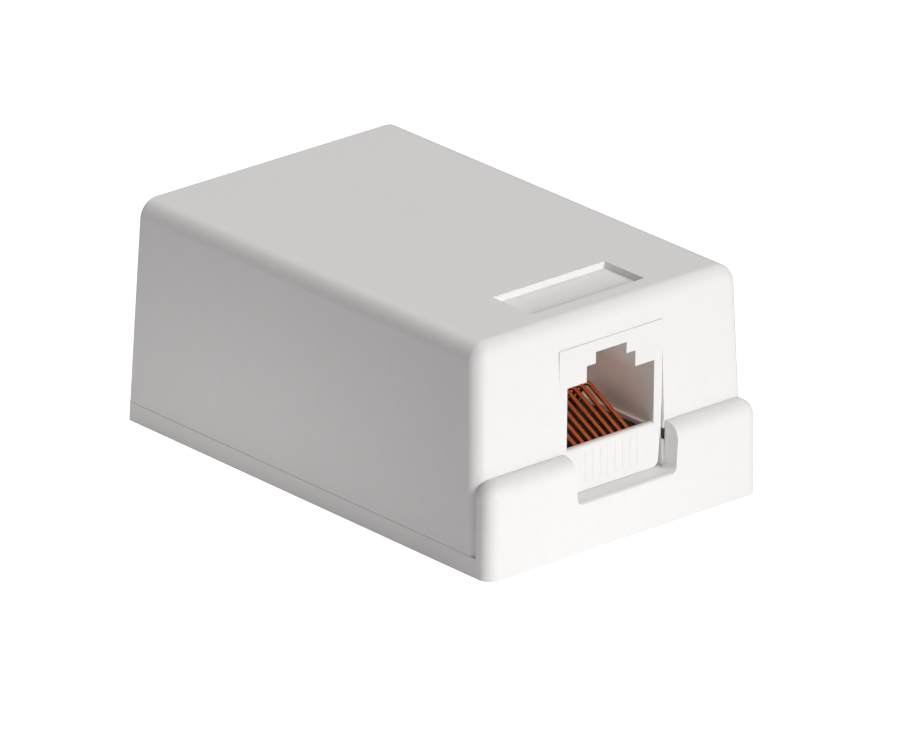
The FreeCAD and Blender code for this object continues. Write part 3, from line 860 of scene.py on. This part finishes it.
# slotted forks that bite the cable's conductors
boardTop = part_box("circuit_board")[1].z
forkShape = {
    "slotWidth": 0.00036,
    "slotDepth": 0.0032,
    "mouthRound": 0.00034,
    "mouthSteps": 4,
    "shoulder": 0.00008,      # gap from the fork's foot to the board
    "pinWidth": 0.0007,
    "cornerRound": 0.0003,
    "cornerSteps": 3,
    "edgeRound": 0.00004,
    "edgeAngle": 50,
    "smoothAngle": 35,
}


def cutFork(name, nodeName, values):
    low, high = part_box(nodeName)
    middle = (low + high) / 2
    foot, slotFloor = boardTop + values["shoulder"], high.z - values["slotDepth"]
    half, pin, edge = values["slotWidth"] / 2, values["pinWidth"] / 2, (high.y - low.y) / 2
    fork = startBox(name, (middle.x, middle.y, (foot + high.z) / 2),
                    (high.x - low.x, high.y - low.y, high.z - foot))
    for offset in (-pin, -half, half, pin):
        cutAcross((0, middle.y + offset, 0), (0, 1, 0))
    cutAcross((0, 0, slotFloor), (0, 0, 1))
    pick(fork, "FACE", lambda c, n: abs(c.y - middle.y) < half and c.z > slotFloor
         and abs(n.y) < lookShare)
    bpy.ops.mesh.delete(type="FACE")
    for wall in (-half, half):
        pick(fork, "VERT", lambda c: abs(c.y - middle.y - wall) < hair and c.z > slotFloor - hair)
        bpy.ops.mesh.edge_face_add()
    pick(fork, "VERT", lambda c: abs(c.y - middle.y) < half + hair and abs(c.z - slotFloor) < hair)
    bpy.ops.mesh.edge_face_add()
    for offset, radius, steps in ((half, values["mouthRound"], values["mouthSteps"]),
                                  (edge, values["cornerRound"], values["cornerSteps"])):
        pick(fork, "EDGE", lambda c: abs(abs(c.y - middle.y) - offset) < hair and c.z > high.z - hair)
        roundPicked(radius, steps)
    pick(fork, "FACE", lambda c, n: abs(c.y - middle.y) < pin and n.z < -lookShare
         and c.z < foot + hair)
    pull((0, 0, low.z - foot))
    closeUp(fork)
    breakEdges(fork, values["edgeRound"], values["edgeAngle"])
    smoothShade(fork, values["smoothAngle"])
    return fork


fork = cutFork("wireFork1", "idc_clip_1", forkShape)
for number in range(1, contacts + 1):
    target = "idc_clip_" + str(number)
    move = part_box(target)[0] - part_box("idc_clip_1")[0]
    piece = copyTo(fork, "wireFork" + str(number), move) if number > 1 else fork
    standFor(piece, target, "base", tinFork)
print("wire forks cut")


# pan-head screws with a cross recess
screwShape = {
    "sides": 40,
    "headHeight": 0.0015,
    "headRound": 0.0008,
    "headSteps": 6,
    "shankRadius": 0.0011,
    "pointLength": 0.0008,
    "pointShare": 0.55,
    "recessWidth": 0.00062,
    "recessReach": 0.00125,
    "recessDepth": 0.0009,
    "recessTaper": 0.62,
    "edgeRound": 0.00005,
    "edgeAngle": 40,
    "smoothAngle": 35,
}


def cutCross(screw, middle, top, values):
    width, taper = values["recessWidth"], values["recessTaper"]
    cutter = startBox("crossCutter", (middle.x, middle.y, top),
                      (width, width, 2 * values["recessDepth"]))
    for way in (Vector((1, 0, 0)), Vector((-1, 0, 0)), Vector((0, 1, 0)), Vector((0, -1, 0))):
        pick(cutter, "FACE", lambda c, n: n.dot(way) > lookShare and (c.xy - middle.xy).length < width)
        pull(way * (values["recessReach"] - width / 2))
    pick(cutter, "VERT", lambda c: c.z < top)
    bpy.ops.transform.resize(value=(taper, taper, 1), center_override=(middle.x, middle.y, top))
    closeUp(cutter)
    addModifier(screw, "BOOLEAN", object=cutter, operation="DIFFERENCE", solver="EXACT", use_self=True)
    bpy.data.objects.remove(cutter)


def turnScrew(name, nodeName, values):
    low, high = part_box(nodeName)
    middle = (low + high) / 2
    headRadius, headHeight = (high.x - low.x) / 2, values["headHeight"]
    seatLevel = high.z - headHeight
    share, pointLength = values["pointShare"], values["pointLength"]
    letGo()
    bpy.ops.mesh.primitive_cylinder_add(vertices=values["sides"], radius=headRadius, depth=headHeight,
                                        location=(middle.x, middle.y, seatLevel + headHeight / 2))
    screw = startPiece(name)
    pick(screw, "EDGE", lambda c: c.z > high.z - hair)
    roundPicked(values["headRound"], values["headSteps"])
    pick(screw, "FACE", lambda c, n: n.z < -lookShare)
    bpy.ops.mesh.inset(thickness=headRadius - values["shankRadius"])
    pull((0, 0, low.z + pointLength - seatLevel))
    pull((0, 0, -pointLength))
    bpy.ops.transform.resize(value=(share, share, 1), center_override=(middle.x, middle.y, low.z))
    closeUp(screw)
    cutCross(screw, middle, high.z, values)
    breakEdges(screw, values["edgeRound"], values["edgeAngle"])
    smoothShade(screw, values["smoothAngle"])
    return screw


screw = turnScrew("boardScrewLeft", "board_screw_left", screwShape)
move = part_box("board_screw_right")[0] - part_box("board_screw_left")[0]
twin = copyTo(screw, "boardScrewRight", move)
standFor(screw, "board_screw_left", "base", zincScrew)
standFor(twin, "board_screw_right", "base", zincScrew)
print("screws turned")


# copper tracks under the board's mask, from below the socket to each fork's row
trackShape = {
    "width": 0.0003,
    "height": 0.00004,
    "start": -0.0105,
    "firstLane": 0.0061,      # lane of the foremost fork; the others lie further in
    "laneStep": 0.0006,
    "blockEdge": 0.0074,      # the tracks end under the blocks
    "roundShare": 0.6,        # of the height
    "edgeAngle": 50,
    "smoothAngle": 35,
}


def layTrack(name, side, lane, forkRow, values):
    start, level = values["start"], boardTop + values["height"]
    reach = values["blockEdge"] - lane
    corner = forkRow - reach
    turn = math.radians(45) / 2             # a track turns by 45 degrees, so each mitre by half of it
    widen = 1 / math.cos(turn)
    letGo()
    bpy.ops.mesh.primitive_plane_add(size=values["width"], location=(side * lane, start, level))
    track = startPiece(name)

    def mitre(place, share):
        bpy.ops.transform.rotate(value=side * turn, orient_axis="Z", center_override=place)
        bpy.ops.transform.resize(value=(share, share, 1), center_override=place)

    pick(track, "EDGE", lambda c: c.y > start)
    pull((0, corner - start - values["width"] / 2, 0))
    mitre((side * lane, corner, level), widen)
    pull((side * reach, reach, 0))
    mitre((side * (lane + reach), corner + reach, level), 1 / widen)
    letGo()
    addModifier(track, "SOLIDIFY", thickness=values["height"], offset=-1)
    breakEdges(track, values["height"] * values["roundShare"], values["edgeAngle"])
    smoothShade(track, values["smoothAngle"])
    seat(track, "base", maskedCopper)


forkBoxes = [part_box("idc_clip_" + str(number)) for number in range(1, contacts // 2 + 1)]
rows = sorted((low.y + high.y) / 2 for low, high in forkBoxes)
for side, word in ((-1, "Left"), (1, "Right")):
    for index, row in enumerate(rows):
        lane = trackShape["firstLane"] - index * trackShape["laneStep"]
        layTrack("maskedTrack" + word + str(index + 1), side, lane, row, trackShape)
dress(nodes["circuit_board"], boardMask)
print("board tracks laid")
